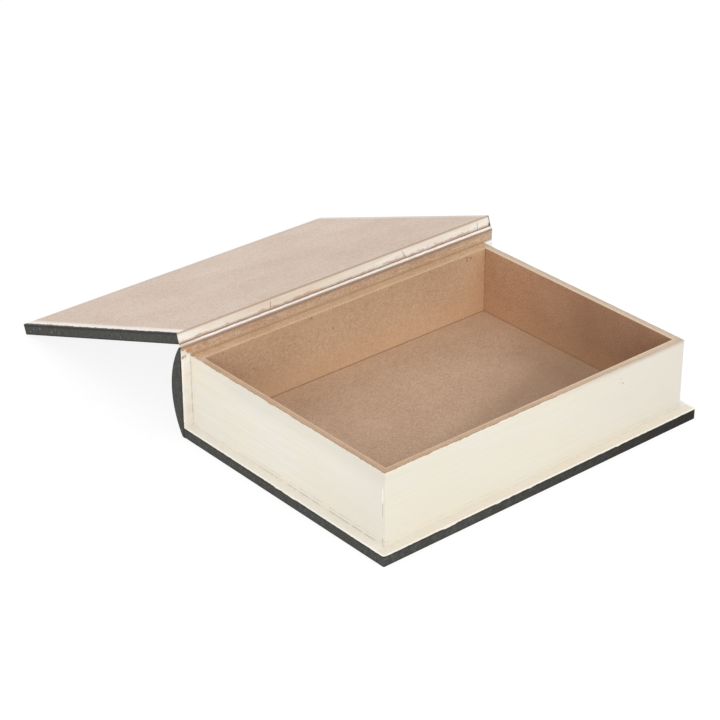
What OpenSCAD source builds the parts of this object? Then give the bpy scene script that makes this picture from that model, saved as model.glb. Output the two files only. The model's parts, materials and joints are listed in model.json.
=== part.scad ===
// Book-shaped keepsake box in MDF, shown with its lid folded right back onto the table.
// Millimetres. +Z is up, +X runs along the spine to the right, -Y is the fore edge
// and +Y the spine. The origin is the centre of the bottom cover's underside.

/* [Covers] */
// Length of both covers, along the spine
cover_len = 300; // [220:1:380]
// Depth of the bottom cover, from fore edge to spine
cover_dep = 219; // [160:0.5:280]
// Thickness of the bare board of both covers
board_t = 8; // [5:0.5:12]
// How far the shut lid's fore edge stands out past the bottom cover's
lid_over = 2.5; // [0:0.1:4]
// Rounding of the covers' outer edges, covering sheet included
edge_r = 0.8; // [0.7:0.1:3]
// The same on the lid's fore edge, which bears on the table when the lid is open
lid_fore_r = 2.4; // [0.8:0.1:3.5]
// Rounding of the covers' fore corners seen from above, covering sheet included
corner_r = 2.5; // [0.8:0.1:6]
// Thickness of the covering sheet
sheet_t = 0.4; // [0.2:0.05:0.6]

/* [Tray] */
// How far the bottom cover stands out past the tray's fore edge
fore_lip = 8.9; // [5:0.1:20]
// How far the covers stand out past each end of the tray
end_lip = 8.4; // [4:0.1:20]
// Thickness of the tray's front and end walls
wall_t = 6; // [4:0.5:9]
// Thickness of its rear wall, which carries the spine
rear_wall_t = 8; // [6:0.5:10]
// Height of the tray's walls above the bottom cover
wall_h = 56; // [30:0.1:80]
// Sanded bevel along both arrises of the rim
rim_bevel = 0.4; // [0.1:0.1:1]
// Thickness of the thin panel laid between the walls as the tray's floor
floor_t = 1.5; // [1:0.1:3]
// Gap between that panel and the walls
floor_gap = 0.15; // [0.05:0.05:0.5]

/* [Spine] */
// Thickness of the spine moulding at mid-height
spine_mid_t = 12.8; // [9:0.1:20]
// Thickness of the spine moulding at its top edge
spine_edge_t = 2.3; // [1.6:0.1:4]
// Rounding of the spine's foot, covering sheet included
foot_r = 2.6; // [1:0.1:3.5]

/* [Hinge] */
// Gap between the shut lid's rear edge and the spine
shut_gap = 0.6; // [0.4:0.1:2]
// Gap between the shut lid and the rim, left by the paint
rim_gap = 0.1; // [0.05:0.05:0.5]
// Straight distance that the free strip spans from the spine's top to the opened lid
strip_w = 3.1; // [2.5:0.1:5]
// Lean of that span away from the tray, in degrees from upright
strip_lean = 33; // [20:1:45]
// Thickness of the strip with its white lining
strip_t = 0.6; // [0.4:0.05:0.9]
// Gap between the strip's upper edge and the lid
strip_gap = 0.1; // [0.05:0.05:0.3]

/* [Pins] */
// Diameter of the headless steel pins
pin_d = 1; // [0.8:0.1:1.6]
// Clearance round a pin in the board
pin_fit = 0.03; // [0.01:0.01:0.08]
// Length of the pins that hold the tray's mitred corners
corner_pin_len = 15; // [10:1:20]
// Number of pins in each mitred corner
corner_pins_count = 3; // [2:1:4]
// Distance of the outermost corner pins from the walls' top and bottom edges
corner_pin_edge = 3.6; // [3:0.1:8]
// Depth of the filled hole over the head of a corner pin
corner_pin_sink = 0.7; // [0.4:0.1:1.5]
// How far the pins driven up through the bottom cover reach into the walls
base_pin_bite = 12; // [8:1:20]
// Number of those pins under each long wall
long_wall_pins_count = 4; // [3:1:6]
// Number of those pins under each short wall
short_wall_pins_count = 2; // [2:1:5]
// How far the pins driven through the rear wall reach into the spine
spine_pin_bite = 5; // [3:0.5:5.5]
// Number of those pins
spine_pins_count = 4; // [2:1:6]
// Distance of those pins below the rim
spine_pin_drop = 2.6; // [2:0.1:6]
// Distance of the outermost base and spine pins from the tips of the corner pins
pin_clear = 6.8; // [4:0.1:15]

/* [Hidden] */
// Steps of a full circle
$fn = 96;
// Overshoot of a cutter past the face that it opens
cut = 1;

// Y of the bottom cover's fore edge, of the tray's fore face and of the spine's inner face
fore_y = -cover_dep / 2;
tray_fore_y = fore_y + fore_lip;
spine_y = cover_dep / 2;
// Outside length and depth of the tray
tray_len = cover_len - 2 * end_lip;
tray_dep = spine_y - tray_fore_y;
// Z of the bottom cover's inner face, the tray's rim, the shut lid's inner face and its top
inner_z = sheet_t + board_t;
rim_z = inner_z + wall_h;
lid_under_z = rim_z + rim_gap;
top_z = lid_under_z + board_t + sheet_t;
// Depth of the lid and Y of its rear edge when it is shut
lid_dep = cover_dep - shut_gap + lid_over;
lid_rear_y = spine_y - shut_gap;

// Height of the spine moulding, which has the covering sheet under its foot and over its
// top and ends level with the shut lid, and the circle of its rounded back
spine_h = top_z - 2 * sheet_t;
spine_rise = spine_mid_t - spine_edge_t;
spine_round = (pow(spine_h / 2, 2) + pow(spine_rise, 2)) / (2 * spine_rise);
// The foot's rounding, no larger than what still ends on the spine's inner face
sheet_round = spine_round + sheet_t;
half_h = spine_h / 2 + sheet_t;
largest_foot = (pow(sheet_round, 2) - pow(half_h, 2) - pow(spine_round - spine_mid_t, 2))
    / (2 * (sheet_round - half_h));
spine_foot_r = min(foot_r, largest_foot);

// Inner arris of the spine's top, where the covering sheet comes free as the strip
strip_foot = [spine_y + strip_t / 2, top_z];
// Rear outer arris of the lid, shut and laid open, as [y, z]
lid_arris_shut = [lid_rear_y, top_z];
lid_arris_open = strip_foot + strip_w * [sin(strip_lean), cos(strip_lean)];
// Fall of the opened lid, from its rear edge to its rounded fore edge on the table
fore_run = lid_dep - lid_fore_r;
droop = asin((lid_arris_open[1] - lid_fore_r) / norm([fore_run, lid_fore_r]))
    + atan2(lid_fore_r, fore_run);
// Angle from shut to open, and the axis that the lid turns about, as [y, z]
open_angle = 180 + droop;
arris_move = lid_arris_open - lid_arris_shut;
hinge_axis = (lid_arris_open + lid_arris_shut) / 2
    + tan(droop / 2) / 2 * [-arris_move[1], arris_move[0]];
echo(hinge_axis = hinge_axis, open_angle = open_angle, rim_z = rim_z, top_z = top_z);

// Colours
raw_mdf = "#BE9B7E";
lid_mdf = "#D3C2B3";
ivory_paint = "#EDE7D6";
charcoal = "#4F4F4A";
white_lining = "#F6EFEA";
pin_steel = "#8B8578";

// An outline in Y and Z, drawn out along X and centred on X = 0
module along_x(length) {
    translate([-length / 2, 0, 0]) rotate([90, 0, 90]) linear_extrude(length) children();
}

// An outline in X and Z, drawn out along Y from Y = 0
module along_y(length) {
    translate([0, length, 0]) rotate([90, 0, 0]) linear_extrude(length) children();
}

// A rectangle from the origin with its corner there rounded
module one_round_corner(size, radius) {
    difference() {
        square(size);
        square(radius);
    }
    translate([radius, radius]) circle(radius);
}

// A rectangle centred on X = 0 and starting at Y = 0, with its two corners there rounded
module two_round_corners(size, radius) {
    for (side = [-1, 1])
        scale([side, 1]) translate([-size[0] / 2, 0])
            one_round_corner([size[0] / 2, size[1]], radius);
}

// A cover seen as a block: outer face down, fore edge at Y = 0, its three free edges rounded
module cover_block(length, depth, thick, fore, edge, corner) {
    intersection() {
        along_x(length) one_round_corner([depth, thick], fore);
        along_y(depth) two_round_corners([length, thick], edge);
        linear_extrude(thick) two_round_corners([length, depth], corner);
    }
}

// The board inside a cover, which the covering sheet wraps on its outer face and three edges
module wrapped_board(depth, fore, extra = 0) {
    translate([0, sheet_t, sheet_t])
        cover_block(cover_len - 2 * sheet_t, depth - sheet_t + extra, board_t + extra,
                    fore - sheet_t, edge_r - sheet_t, corner_r - sheet_t);
}

// The covering sheet of a cover, open on its inner face and along its rear edge
module cover_sheet(depth, fore) {
    difference() {
        cover_block(cover_len, depth, board_t + sheet_t, fore, edge_r, corner_r);
        wrapped_board(depth, fore, cut);
    }
}

// Brings a cover drawn with its outer face down to the shut lid's place
module shut_lid() {
    translate([0, lid_rear_y - lid_dep, top_z]) mirror([0, 0, 1]) children();
}

// Swings a piece in the shut lid's place to the opened lid's place
module opened() {
    translate([0, hinge_axis[0], hinge_axis[1]]) rotate([-open_angle, 0, 0])
        translate([0, -hinge_axis[0], -hinge_axis[1]]) children();
}

// One tray wall: outer face on Y = 0, standing on Z = 0, with a bevelled rim and mitred ends.
// cuts are the mitres' widths along the wall, at its -X and +X end.
module mitred_wall(length, thick, cuts) {
    intersection() {
        along_x(length) polygon([
            [0, 0], [thick, 0],
            [thick, wall_h - rim_bevel], [thick - rim_bevel, wall_h],
            [rim_bevel, wall_h], [0, wall_h - rim_bevel]
        ]);
        linear_extrude(wall_h) polygon([
            [-length / 2, 0], [length / 2, 0],
            [length / 2 - cuts[1], thick], [-length / 2 + cuts[0], thick]
        ]);
    }
}

// Distance of the outermost base and spine pins from a wall's end
pin_inset = corner_pin_sink + corner_pin_len + pin_clear;

// Places of n things spread evenly from -reach to reach
function spread(reach, n) = [for (i = [0 : n - 1]) -reach + 2 * reach * i / (n - 1)];

// Pins in the mitred corners, driven in through the end walls near their arrises
module corner_pin_set(radius) {
    mid_z = inner_z + wall_h / 2;
    for (side = [-1, 1])
        for (y = [tray_fore_y + wall_t / 2, spine_y - rear_wall_t / 2])
            for (z = spread(wall_h / 2 - corner_pin_edge, corner_pins_count))
                translate([side * (tray_len / 2 - corner_pin_sink), y, mid_z + z])
                    rotate([0, -side * 90, 0]) cylinder(h = corner_pin_len, r = radius);
}

// Pins driven up through the bottom cover's board into the middle of each wall
module base_pin_set(radius) {
    tray_mid_y = (tray_fore_y + spine_y) / 2;
    long_reach = tray_len / 2 - pin_inset;
    short_reach = tray_dep / 2 - pin_inset;
    places = concat(
        [for (x = spread(long_reach, long_wall_pins_count))
            for (y = [tray_fore_y + wall_t / 2, spine_y - rear_wall_t / 2]) [x, y]],
        [for (y = spread(short_reach, short_wall_pins_count)) for (side = [-1, 1])
            [side * (tray_len - wall_t) / 2, tray_mid_y + y]]
    );
    for (place = places)
        translate([place[0], place[1], sheet_t]) cylinder(h = board_t + base_pin_bite, r = radius);
}

// Pins driven from inside the tray through the rear wall into the spine
module spine_pin_set(radius) {
    for (x = spread(tray_len / 2 - pin_inset, spine_pins_count))
        translate([x, spine_y - rear_wall_t, rim_z - spine_pin_drop])
            rotate([-90, 0, 0]) cylinder(h = rear_wall_t + spine_pin_bite, r = radius);
}

// All pin holes, a little wider than the pins
module pin_holes() {
    corner_pin_set(pin_d / 2 + pin_fit);
    base_pin_set(pin_d / 2 + pin_fit);
    spine_pin_set(pin_d / 2 + pin_fit);
}

// Section of the spine: flat inside, an arc of a large circle behind, and a foot rounded
// into that arc. grow is the thickness of sheet laid on its foot, back and top.
module spine_section(grow = 0) {
    reach = spine_mid_t + grow;
    back_r = spine_round + grow;
    back_centre = [spine_mid_t - spine_round, spine_h / 2];
    foot = spine_foot_r - sheet_t + grow;
    foot_z = foot - grow;
    foot_centre = [
        back_centre[0] + sqrt(pow(back_r - foot, 2) - pow(foot_z - back_centre[1], 2)), foot_z
    ];
    outwards = (foot_centre - back_centre) / norm(foot_centre - back_centre);
    intersection() {
        translate(back_centre) circle(back_r, $fn = 256);
        difference() {
            translate([0, -grow]) square([reach, spine_h + 2 * grow]);
            // Corner outside the rounded foot
            translate(foot_centre) difference() {
                polygon([[0, 0], [0, -reach], [reach, -reach], reach * outwards]);
                circle(foot);
            }
        }
    }
}

// Bottom cover's board, on which the tray stands
module base_board() {
    color(ivory_paint) difference() {
        translate([0, fore_y, 0]) wrapped_board(cover_dep, edge_r);
        base_pin_set(pin_d / 2 + pin_fit);
    }
}

// Thin panel laid on that board between the walls
module floor_panel() {
    color(raw_mdf)
        translate([-tray_len / 2 + wall_t + floor_gap, tray_fore_y + wall_t + floor_gap, inner_z])
            cube([tray_len - 2 * (wall_t + floor_gap),
                  tray_dep - wall_t - rear_wall_t - 2 * floor_gap, floor_t]);
}

// Wall behind the painted fore edge
module front_wall() {
    color(ivory_paint) difference() {
        translate([0, tray_fore_y, inner_z]) mitred_wall(tray_len, wall_t, [wall_t, wall_t]);
        pin_holes();
    }
}

// Wall in front of the spine
module rear_wall() {
    color(raw_mdf) difference() {
        translate([0, spine_y, inner_z]) rotate([0, 0, 180])
            mitred_wall(tray_len, rear_wall_t, [wall_t, wall_t]);
        pin_holes();
    }
}

// End walls, mirror images of each other
module end_wall(side) {
    cuts = side > 0 ? [wall_t, rear_wall_t] : [rear_wall_t, wall_t];
    color(ivory_paint) difference() {
        translate([side * tray_len / 2, (tray_fore_y + spine_y) / 2, inner_z])
            rotate([0, 0, side * 90]) mitred_wall(tray_dep, wall_t, cuts);
        pin_holes();
    }
}

module left_wall() {
    end_wall(-1);
}

module right_wall() {
    end_wall(1);
}

// Half-round moulding as long as the covers, behind the tray and the bottom cover
module spine_moulding() {
    color(raw_mdf) difference() {
        translate([0, spine_y, sheet_t]) along_x(cover_len - 2 * sheet_t) spine_section();
        spine_pin_set(pin_d / 2 + pin_fit);
    }
}

// Covering sheet under the bottom cover and round its fore edge and ends
module base_covering() {
    color(charcoal) translate([0, fore_y, 0]) cover_sheet(cover_dep, edge_r);
}

// Covering sheet over the spine's foot, back, top and both ends
module spine_covering() {
    color(charcoal) translate([0, spine_y, sheet_t]) difference() {
        along_x(cover_len) spine_section(sheet_t);
        along_x(cover_len - 2 * sheet_t) union() {
            spine_section();
            translate([-cut, 0]) square([cut, spine_h]);
        }
    }
}

// Lid board, laid open on the table
module lid_board() {
    color(lid_mdf) opened() shut_lid() wrapped_board(lid_dep, lid_fore_r);
}

// Covering sheet over the lid's outer face, fore edge and ends
module lid_covering() {
    color(charcoal) opened() shut_lid() cover_sheet(lid_dep, lid_fore_r);
}

// One leg of the strip's section, from the hinge axis, where it folds, past an end
module strip_leg(end) {
    run = end - hinge_axis;
    translate(hinge_axis) rotate(atan2(run[1], run[0]))
        translate([0, -strip_t / 2]) square([norm(run) + strip_t, strip_t]);
}

// Free strip of the covering sheet that joins the lid to the spine
module hinge_strip() {
    reach = 3 * strip_w;
    lid_end = lid_arris_open + strip_t / 2 * [sin(droop), cos(droop)];
    color(white_lining) difference() {
        along_x(cover_len) union() {
            translate(hinge_axis) circle(strip_t / 2);
            strip_leg(strip_foot);
            strip_leg(lid_end);
        }
        // Level with the spine's top
        translate([-cover_len, spine_y - reach, top_z - reach]) cube([2 * cover_len, 2 * reach, reach]);
        // Just clear of the opened lid's rear edge
        opened() shut_lid() translate([-cover_len, lid_dep + strip_gap - reach, -reach])
            cube([2 * cover_len, reach, reach + board_t]);
    }
}

module corner_pins() {
    color(pin_steel) corner_pin_set(pin_d / 2);
}

module base_pins() {
    color(pin_steel) base_pin_set(pin_d / 2);
}

module spine_pins() {
    color(pin_steel) spine_pin_set(pin_d / 2);
}

base_board();
floor_panel();
front_wall();
rear_wall();
left_wall();
right_wall();
spine_moulding();
base_covering();
spine_covering();
lid_board();
lid_covering();
hinge_strip();
corner_pins();
base_pins();
spine_pins();
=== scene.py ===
"""Dresses the book box: camera, light, floor, the finish of every piece, and the hinge strip."""
import json, math
import bpy, bmesh
from mathutils import Matrix, Vector, noise


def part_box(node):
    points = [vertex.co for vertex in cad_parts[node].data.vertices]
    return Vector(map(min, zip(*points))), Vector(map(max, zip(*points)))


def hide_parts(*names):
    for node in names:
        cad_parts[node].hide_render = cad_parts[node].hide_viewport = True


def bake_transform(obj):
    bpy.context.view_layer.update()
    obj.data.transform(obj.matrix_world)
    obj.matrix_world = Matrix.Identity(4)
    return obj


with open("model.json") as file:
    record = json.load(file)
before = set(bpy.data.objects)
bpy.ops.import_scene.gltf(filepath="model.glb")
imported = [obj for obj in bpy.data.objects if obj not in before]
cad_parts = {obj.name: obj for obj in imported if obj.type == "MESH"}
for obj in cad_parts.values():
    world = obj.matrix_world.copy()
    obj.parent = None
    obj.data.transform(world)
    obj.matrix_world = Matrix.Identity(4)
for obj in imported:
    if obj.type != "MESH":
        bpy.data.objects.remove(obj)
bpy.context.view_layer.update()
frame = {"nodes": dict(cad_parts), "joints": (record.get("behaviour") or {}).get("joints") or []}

scene = bpy.context.scene
MM = 0.001
nodes = frame["nodes"]

# Places that the finishes are laid out by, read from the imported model
axis_y, axis_z = frame["joints"][0]["pos_m"][1:]
cover_lo, cover_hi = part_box("base_covering")
board_lo, board_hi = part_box("base_board")
wall_lo, wall_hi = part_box("front_wall")
rear_lo, rear_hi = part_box("rear_wall")
spine_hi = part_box("spine_covering")[1]
floor_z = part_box("floor_panel")[1].z
cover_half = cover_hi.x
tray_half = wall_hi.x
fore_y, rim_z = wall_lo.y, wall_hi.z
lip_z = board_hi.z
spine_y, spine_z = rear_hi.y, spine_hi.z
wall_t = wall_hi.y - wall_lo.y
sheet_t = board_lo.z - cover_lo.z

# The opened lid's own directions, along it from hinge to fore edge and out of its inner face,
# and the places of its board along them, measured from the hinge axis
lid_points = [v.co.copy() for v in nodes["lid_board"].data.vertices]
hinge_arris = max(lid_points, key=lambda c: c.z)
fore_arris = max(lid_points, key=lambda c: c.y)
lid_along = Vector((0, fore_arris.y - hinge_arris.y, fore_arris.z - hinge_arris.z)).normalized()
lid_out = Vector((0, -lid_along.z, lid_along.y))
hinge_point = Vector((0, axis_y, axis_z))
lid_near = min((c - hinge_point).dot(lid_along) for c in lid_points)
lid_far = max((c - hinge_point).dot(lid_along) for c in lid_points)
lid_face = max((c - hinge_point).dot(lid_out) for c in lid_points)
lid_back = min((c - hinge_point).dot(lid_out) for c in lid_points)

# Single marks, their lengths in millimetres. Specks on the fore face: x, z and strength.
FORE_SPECKS = ((77.8, 55.0, 0.4), (76.7, 52.6, 0.2), (79.8, 51.2, 0.75))
# Small dark holes near the top of the rear wall, and redder places and a white dab near the
# spine's left end: x and z
REAR_HOLES = ((120.3, 60.6), (116.2, 61.9), (116.2, 59.6), (-37.9, 62.3), (-17.5, 46.9))
RED_PLACES = ((-135.0, 68.5), (-128.7, 71.1), (-142.9, 69.7))
WHITE_DAB = (-148.4, 68.5)
# Short cracks across the lid's hinge edge: x and lean
EDGE_CRACKS = ((-66.7, 0.25), (60.9, -0.4), (137, 0.15))
# Rubbed specks on the lid's left end: distance along the lid, distance out of it, and size
LID_RUBS = ((212.1, 4.5, 1.0), (206.4, 6.3, 0.9), (196.0, 7.2, 1.4), (179.0, 5.0, 1.4),
            (172.0, 7.4, 0.8), (168.8, 4.3, 0.8), (78.5, 4.2, 1.0))
# Painted light and shade on a bare board, slow changes of tone that stand in for how light
# falls: colour, a direction, the two products of place and direction, in millimetres, between
# which the drift grows, and its strength
# Rear wall: painted light low down and at the right end, painted shade high up
REAR_PAINTED_LIGHT_AND_SHADE = (("#FFD9AE", (0, 0, 1), 40, 14, 0.3), ("#A88664", (0, 0, 1), 42, 60, 0.22),
               ("#FFD2A0", (1, 0, 0), 105, 133, 0.18))
# Floor: a painted shadow over its front right part, painted light at its rear and right end
FLOOR_PAINTED_LIGHT_AND_SHADE = (("#7A563E", (0.2, -0.35, 0), 2, 18, 0.34),
                ("#7A604F", (0.1, -0.45, 0), 5, 13, 0.22),
                ("#FFE0BC", (0, 1, 0), 78, 100, 0.12), ("#FFE0BC", (1, 0, 0), 112, 135, 0.16))

# Colours used more than once
JOINT_SHADOW = "#6E4A34"
SAW_BROWN = "#A88A6C"
HAIRLINE_GREY = "#8D867B"
WHITE = "#FFFFFF"

# Depth of the relief of bare and painted board
BOARD_RELIEF = 0.05 * MM


def linear(code):
    """The linear colour of an sRGB hex code."""
    parts = [int(code[i:i + 2], 16) / 255 for i in (1, 3, 5)]
    return tuple(p / 12.92 if p <= 0.04045 else ((p + 0.055) / 1.055) ** 2.4 for p in parts) + (1,)


def add(tree, kind, sockets=None, **settings):
    """Adds a node with its settings. A socket takes a value, a hex colour, a node, or a node and
    the name of its output."""
    node = tree.nodes.new("ShaderNode" + kind)
    for name, value in settings.items():
        setattr(node, name, value)
    for key, value in (sockets or {}).items():
        socket = node.inputs[key] if isinstance(key, int) else next(
            s for s in node.inputs if s.name == key and s.enabled)
        if isinstance(value, bpy.types.Node):
            value = (value, None)
        if isinstance(value, tuple) and isinstance(value[0], bpy.types.Node):
            source, output = value
            tree.links.new(source.outputs[output] if output else
                           next(s for s in source.outputs if s.enabled), socket)
        else:
            socket.default_value = linear(value) if isinstance(value, str) else value
    return node


def coats(tree, ground, *layers):
    """Lays coats of colour on a ground. Each coat is its colour and the shares, from 0 to 1, that
    are multiplied to say how much of it covers each spot."""
    for colour, share, *more in layers:
        for other in more:
            share = add(tree, "Math", {0: share, 1: other}, operation="MULTIPLY")
        ground = add(tree, "Mix", {"Factor": share, "A": ground, "B": colour}, data_type="RGBA")
    return ground


def band(tree, value, at, full, none):
    """1 where a value lies within full of at, falling to 0 at none."""
    away = add(tree, "Math", {0: value, 1: at}, operation="SUBTRACT")
    away = add(tree, "Math", {0: away}, operation="ABSOLUTE")
    return add(tree, "MapRange", {"Value": away, "From Min": none, "From Max": full})


def around(tree, place, point, full, none):
    """1 within full of a point, falling to 0 at none."""
    away = add(tree, "VectorMath", {0: place, 1: point}, operation="DISTANCE")
    return add(tree, "MapRange", {"Value": (away, "Value"), "From Min": none, "From Max": full})


def new_finish(name):
    """A material of that name with an empty node tree."""
    material = bpy.data.materials.new(name)
    material.use_nodes = True
    material.node_tree.nodes.clear()
    return material, material.node_tree


def matt_surface(tree, colour, height, depth, roughness, gloss=0.3):
    """Ends a finish in one shader. depth is the height's full range in metres."""
    bump = add(tree, "Bump", {"Height": height, "Distance": depth, "Strength": 1.0})
    shader = add(tree, "BsdfPrincipled", {
        "Base Color": colour, "Roughness": roughness, "IOR": 1.5, "Specular IOR Level": gloss,
        "Normal": bump})
    add(tree, "OutputMaterial", {"Surface": shader})


def dress(node, material):
    """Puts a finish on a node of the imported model."""
    mesh = nodes[node].data
    if not mesh.materials:
        mesh.materials.append(material)
    for i in range(len(mesh.materials)):
        mesh.materials[i] = material


def places_on_tray(tree):
    """Object coordinates, their parts, and distances from the middle, and in from the tray's end,
    fore and nearest painted face."""
    coords = add(tree, "TexCoord")
    place = (coords, "Object")
    parts = add(tree, "SeparateXYZ", {"Vector": place})
    across = add(tree, "Math", {0: (parts, "X")}, operation="ABSOLUTE")
    from_end = add(tree, "Math", {0: tray_half, 1: across}, operation="SUBTRACT")
    from_fore = add(tree, "Math", {0: (parts, "Y"), 1: fore_y}, operation="SUBTRACT")
    inwards = add(tree, "Math", {0: from_end, 1: from_fore}, operation="MINIMUM")
    return place, parts, across, from_end, from_fore, inwards


def top_of_rim(tree, parts):
    """1 on the top face of the tray's rim, 0 on the walls below it."""
    return add(tree, "MapRange", {
        "Value": (parts, "Z"), "From Min": rim_z - 0.5 * MM, "From Max": rim_z - 0.1 * MM})


# Medium-density fibreboard, sanded and left bare. The eye sees a warm biscuit brown of pressed
# wood dust, peppered with light and dark fibre bundles of about a millimetre, drawn a little
# coarse so that they show, and scattered bark specks.
def sanded_fibreboard(tree, place, pale, dark):
    grain = add(tree, "TexNoise", {
        "Vector": place, "Scale": 1 / (1.2 * MM), "Detail": 2.0, "Roughness": 0.8})
    mottle = add(tree, "TexNoise", {
        "Vector": place, "Scale": 1 / (6 * MM), "Detail": 3.0, "Roughness": 0.65})
    clouds = add(tree, "TexNoise", {"Vector": place, "Scale": 1 / (55 * MM), "Detail": 2.0})
    fine = add(tree, "MapRange", {
        "Value": grain, "From Min": 0.3, "From Max": 0.7, "To Min": -0.6, "To Max": 0.6})
    middle = add(tree, "MapRange", {
        "Value": mottle, "From Min": 0.3, "From Max": 0.7, "To Min": 0.38, "To Max": 0.62})
    drift = add(tree, "MapRange", {
        "Value": clouds, "From Min": 0.35, "From Max": 0.65, "To Min": -0.12, "To Max": 0.12})
    tone = add(tree, "Math", {0: fine, 1: middle}, operation="ADD")
    tone = add(tree, "Math", {0: tone, 1: drift}, operation="ADD", use_clamp=True)
    colour = add(tree, "Mix", {"Factor": tone, "A": dark, "B": pale}, data_type="RGBA")
    # Specks about 0.6 mm across and 4 mm apart, most of them dark and a few pale
    cells = add(tree, "TexVoronoi", {"Vector": place, "Scale": 1 / (4 * MM), "Randomness": 1.0})
    spots = add(tree, "MapRange", {
        "Value": (cells, "Distance"), "From Min": 0.13, "From Max": 0.07})
    pick = add(tree, "SeparateColor", {"Color": (cells, "Color")})
    bark = add(tree, "MapRange", {
        "Value": (pick, "Red"), "From Min": 0.6, "From Max": 0.9, "To Max": 0.6})
    chaff = add(tree, "MapRange", {
        "Value": (pick, "Green"), "From Min": 0.8, "From Max": 0.95, "To Max": 0.5})
    colour = coats(tree, colour, ("#7A543C", spots, bark), ("#E8D2BC", spots, chaff))
    return colour, grain


# Matt emulsion in ivory, brushed on by hand along the walls. The eye sees faint level streaks like
# the edges of pages, with broad cooler and warmer places where the coat is thin or thick.
def brushed_emulsion(tree, place, streaked=1.0):
    level = add(tree, "Mapping", {
        "Vector": place, "Scale": (1 / (55 * MM), 1 / (55 * MM), 1 / (1.1 * MM))})
    streaks = add(tree, "TexNoise", {
        "Vector": level, "Scale": 1.0, "Detail": 3.0, "Roughness": 0.6})
    broad = add(tree, "Mapping", {
        "Vector": place, "Scale": (1 / (70 * MM), 1 / (70 * MM), 1 / (18 * MM))})
    patches = add(tree, "TexNoise", {
        "Vector": broad, "Scale": 1.0, "Detail": 3.0, "Roughness": 0.55})
    warm = add(tree, "MapRange", {"Value": patches, "From Min": 0.4, "From Max": 0.62})
    fine = add(tree, "MapRange", {
        "Value": streaks, "From Min": 0.45, "From Max": 0.7, "To Max": 0.26 * streaked})
    bright = add(tree, "MapRange", {
        "Value": streaks, "From Min": 0.5, "From Max": 0.3, "To Max": 0.3 * streaked})
    colour = coats(tree, linear("#E8E4DA"), ("#E9E2D2", warm), ("#DCD4C3", fine),
                   ("#F1EEE6", bright))
    return colour, streaks


# Matt covering paper in charcoal, glued down over the boards. The eye sees a dull dark grey with a
# hint of olive, a fine grain, rubbed and deeper places a few millimetres wide, and pale specks.
def charcoal_covering(tree, place):
    grain = add(tree, "TexNoise", {
        "Vector": place, "Scale": 1 / (1.0 * MM), "Detail": 2.0, "Roughness": 0.7})
    wear = add(tree, "TexNoise", {
        "Vector": place, "Scale": 1 / (14 * MM), "Detail": 4.0, "Roughness": 0.6})
    rubs = add(tree, "TexNoise", {
        "Vector": place, "Scale": 1 / (3 * MM), "Detail": 3.0, "Roughness": 0.7})
    rubbed = add(tree, "MapRange", {
        "Value": rubs, "From Min": 0.52, "From Max": 0.7, "To Max": 0.4})
    deep = add(tree, "MapRange", {
        "Value": rubs, "From Min": 0.48, "From Max": 0.32, "To Max": 0.45})
    tone = add(tree, "MapRange", {"Value": grain, "From Min": 0.3, "From Max": 0.7})
    olive = add(tree, "MapRange", {
        "Value": wear, "From Min": 0.42, "From Max": 0.62, "To Max": 0.55})
    cells = add(tree, "TexVoronoi", {"Vector": place, "Scale": 1 / (9 * MM), "Randomness": 1.0})
    specks = add(tree, "MapRange", {
        "Value": (cells, "Distance"), "From Min": 0.07, "From Max": 0.04})
    pick = add(tree, "SeparateColor", {"Color": (cells, "Color")})
    few = add(tree, "MapRange", {
        "Value": (pick, "Green"), "From Min": 0.75, "From Max": 0.95, "To Max": 0.6})
    colour = add(tree, "Mix", {"Factor": tone, "A": "#434342", "B": "#545453"}, data_type="RGBA")
    colour = coats(tree, colour, ("#4A473C", olive), ("#2F2F2D", deep), ("#6C6C69", rubbed),
                   ("#9C9A92", specks, few))
    return colour, grain


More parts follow.
